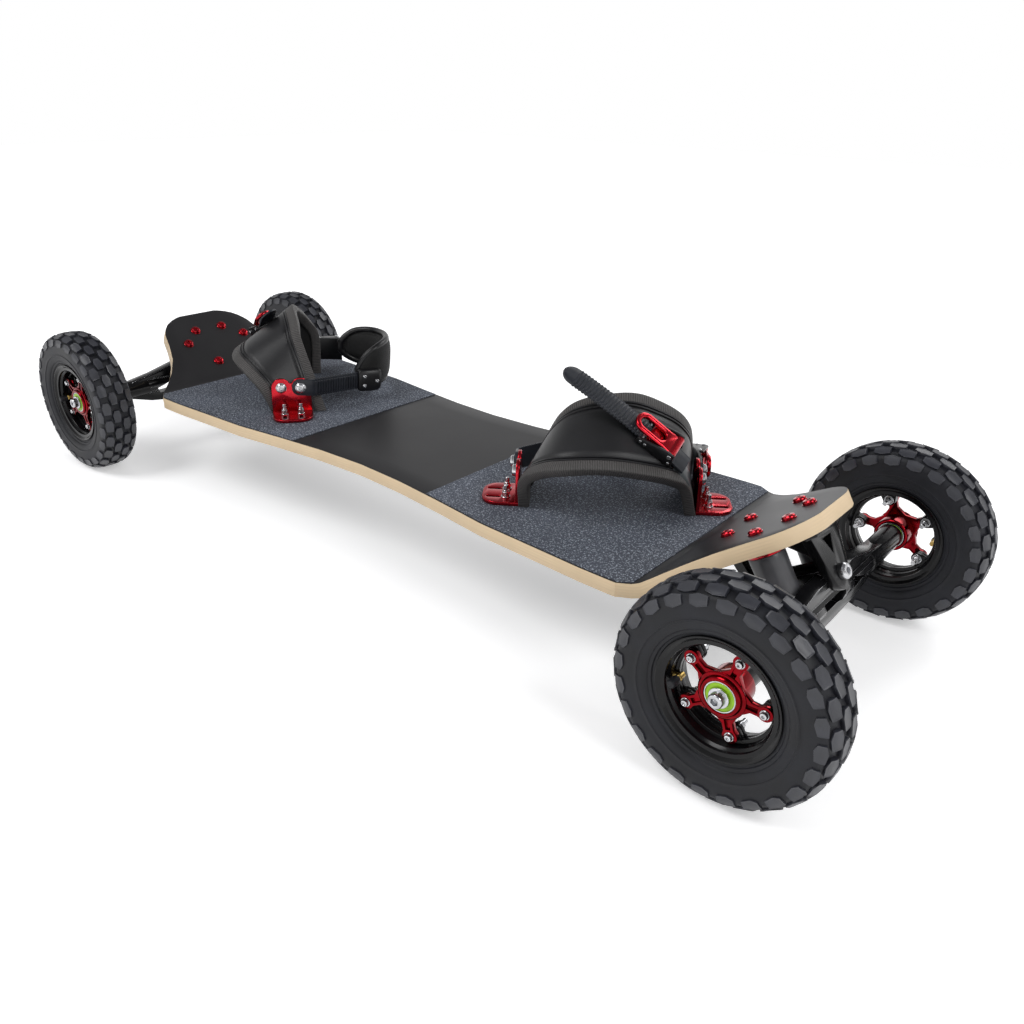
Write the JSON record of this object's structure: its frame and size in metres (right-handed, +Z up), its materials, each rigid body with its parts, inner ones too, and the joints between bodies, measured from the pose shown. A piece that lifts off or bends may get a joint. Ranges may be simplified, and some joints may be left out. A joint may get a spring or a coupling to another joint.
{
  "type": "mountainboard",
  "caption": "Mountainboard: bent laminate deck on two sprung trucks with air-tyred wheels, and foot bindings with moulded instep pads and ratchet heel straps.",
  "frame": {"origin": "on the ground under the middle of the deck", "axes": "+X along the deck towards the nose, +Z up, +Y across towards the heel side"},
  "size_m": [1.241, 0.4302, 0.2754],
  "materials": {
    "laminate": "black satin face on a pale wood laminate, speckled grip sheets",
    "black_metal": "black anodised gloss",
    "rim_metal": "black anodised gloss",
    "red_metal": "red anodised gloss",
    "steel": "bright zinc",
    "bearing": "steel with lime seals",
    "tyre": "matt rubber",
    "urethane": "satin dark grey",
    "moulded_plastic": "matt black moulding",
    "strap_plastic": "satin blue-black",
    "pad_fabric": "soft black pad"
  },
  "bodies": {
    "board": {"deck": "laminate", "front_baseplate": "black_metal", "front_kingpin": "steel", "front_left_damper_cap": "red_metal", "front_left_damper": "urethane", "front_right_damper_cap": "red_metal", "front_right_damper": "urethane", "rear_baseplate": "black_metal", "rear_kingpin": "steel", "rear_left_damper_cap": "red_metal", "rear_left_damper": "urethane", "rear_right_damper_cap": "red_metal", "rear_right_damper": "urethane", "front_bracket_outboard": "red_metal", "front_bracket_inboard": "red_metal", "front_instep_pad": "moulded_plastic", "front_instep_buckle": "moulded_plastic", "front_instep_ladder": "strap_plastic", "rear_bracket_outboard": "red_metal", "rear_bracket_inboard": "red_metal", "rear_instep_pad": "moulded_plastic", "rear_instep_buckle": "moulded_plastic", "rear_instep_ladder": "strap_plastic"},
    "front_truck": {"front_hanger": "black_metal", "front_left_axle": "steel", "front_right_axle": "steel"},
    "rear_truck": {"rear_hanger": "black_metal", "rear_left_axle": "steel", "rear_right_axle": "steel"},
    "front_left_wheel": {"front_left_tyre": "tyre", "front_left_rim_outer": "rim_metal", "front_left_rim_inner": "rim_metal", "front_left_hub": "red_metal", "front_left_bearings": "bearing"},
    "front_right_wheel": {"front_right_tyre": "tyre", "front_right_rim_outer": "rim_metal", "front_right_rim_inner": "rim_metal", "front_right_hub": "red_metal", "front_right_bearings": "bearing"},
    "rear_left_wheel": {"rear_left_tyre": "tyre", "rear_left_rim_outer": "rim_metal", "rear_left_rim_inner": "rim_metal", "rear_left_hub": "red_metal", "rear_left_bearings": "bearing"},
    "rear_right_wheel": {"rear_right_tyre": "tyre", "rear_right_rim_outer": "rim_metal", "rear_right_rim_inner": "rim_metal", "rear_right_hub": "red_metal", "rear_right_bearings": "bearing"},
    "front_instep_lever": {"front_instep_lever": "red_metal"},
    "rear_instep_lever": {"rear_instep_lever": "red_metal"},
    "front_heel_strap": {"front_heel_ladder": "strap_plastic", "front_heel_pad": "pad_fabric", "front_heel_buckle": "moulded_plastic"},
    "rear_heel_strap": {"rear_heel_ladder": "strap_plastic", "rear_heel_pad": "pad_fabric", "rear_heel_buckle": "moulded_plastic"},
    "front_heel_lever": {"front_heel_lever": "red_metal"},
    "rear_heel_lever": {"rear_heel_lever": "red_metal"}
  },
  "joints": [
    {"name": "front_steer", "type": "hinge", "parent": "board", "child": "front_truck", "pos_m": [0.5106, 0, 0.12], "axis": [0.848, 0, 0.5299], "range_deg": [-12, 12], "stiffness_Nm_per_rad": 60, "deforming": ["front_left_damper", "front_right_damper"]},
    {"name": "rear_steer", "type": "hinge", "parent": "board", "child": "rear_truck", "pos_m": [-0.5106, 0, 0.12], "axis": [-0.848, 0, 0.5299], "range_deg": [-12, 12], "stiffness_Nm_per_rad": 60, "deforming": ["rear_left_damper", "rear_right_damper"]},
    {"name": "front_left_roll", "type": "hinge", "parent": "front_truck", "child": "front_left_wheel", "pos_m": [0.52046, 0.18965, 0.1], "axis": [0, 1, 0], "continuous": true},
    {"name": "front_right_roll", "type": "hinge", "parent": "front_truck", "child": "front_right_wheel", "pos_m": [0.52046, -0.18965, 0.1], "axis": [0, 1, 0], "continuous": true},
    {"name": "rear_left_roll", "type": "hinge", "parent": "rear_truck", "child": "rear_left_wheel", "pos_m": [-0.52046, 0.18965, 0.1], "axis": [0, 1, 0], "continuous": true},
    {"name": "rear_right_roll", "type": "hinge", "parent": "rear_truck", "child": "rear_right_wheel", "pos_m": [-0.52046, -0.18965, 0.1], "axis": [0, 1, 0], "continuous": true},
    {"name": "front_instep_release", "type": "hinge", "parent": "board", "child": "front_instep_lever", "pos_m": [0.3466, 0, 0.2052], "axis": [-0.1573, 0.9293, 0.3341], "range_deg": [0, 70], "stiffness_Nm_per_rad": 0.05, "springref_deg": -11.46},
    {"name": "rear_instep_release", "type": "hinge", "parent": "board", "child": "rear_instep_lever", "pos_m": [-0.3466, 0, 0.2052], "axis": [-0.1573, -0.9293, -0.3341], "range_deg": [0, 70], "stiffness_Nm_per_rad": 0.05, "springref_deg": -11.46},
    {"name": "front_heel_swing", "type": "hinge", "parent": "board", "child": "front_heel_strap", "pos_m": [0.2664, 0.0021, 0.1624], "axis": [0.809, 0.5878, 0], "range_deg": [-0.5, 55]},
    {"name": "rear_heel_swing", "type": "hinge", "parent": "board", "child": "rear_heel_strap", "pos_m": [-0.2664, 0.0021, 0.1624], "axis": [0.809, -0.5878, 0], "range_deg": [-7, 48]},
    {"name": "front_heel_release", "type": "hinge", "parent": "front_heel_strap", "child": "front_heel_lever", "pos_m": [0.3204, 0.1142, 0.1509], "axis": [-0.1122, 0.1544, 0.9816], "range_deg": [0, 70], "stiffness_Nm_per_rad": 0.05, "springref_deg": -11.46},
    {"name": "rear_heel_release", "type": "hinge", "parent": "rear_heel_strap", "child": "rear_heel_lever", "pos_m": [-0.3199, 0.115, 0.1582], "axis": [-0.041, -0.0564, -0.9976], "range_deg": [0, 70], "stiffness_Nm_per_rad": 0.05, "springref_deg": -11.46}
  ]
}
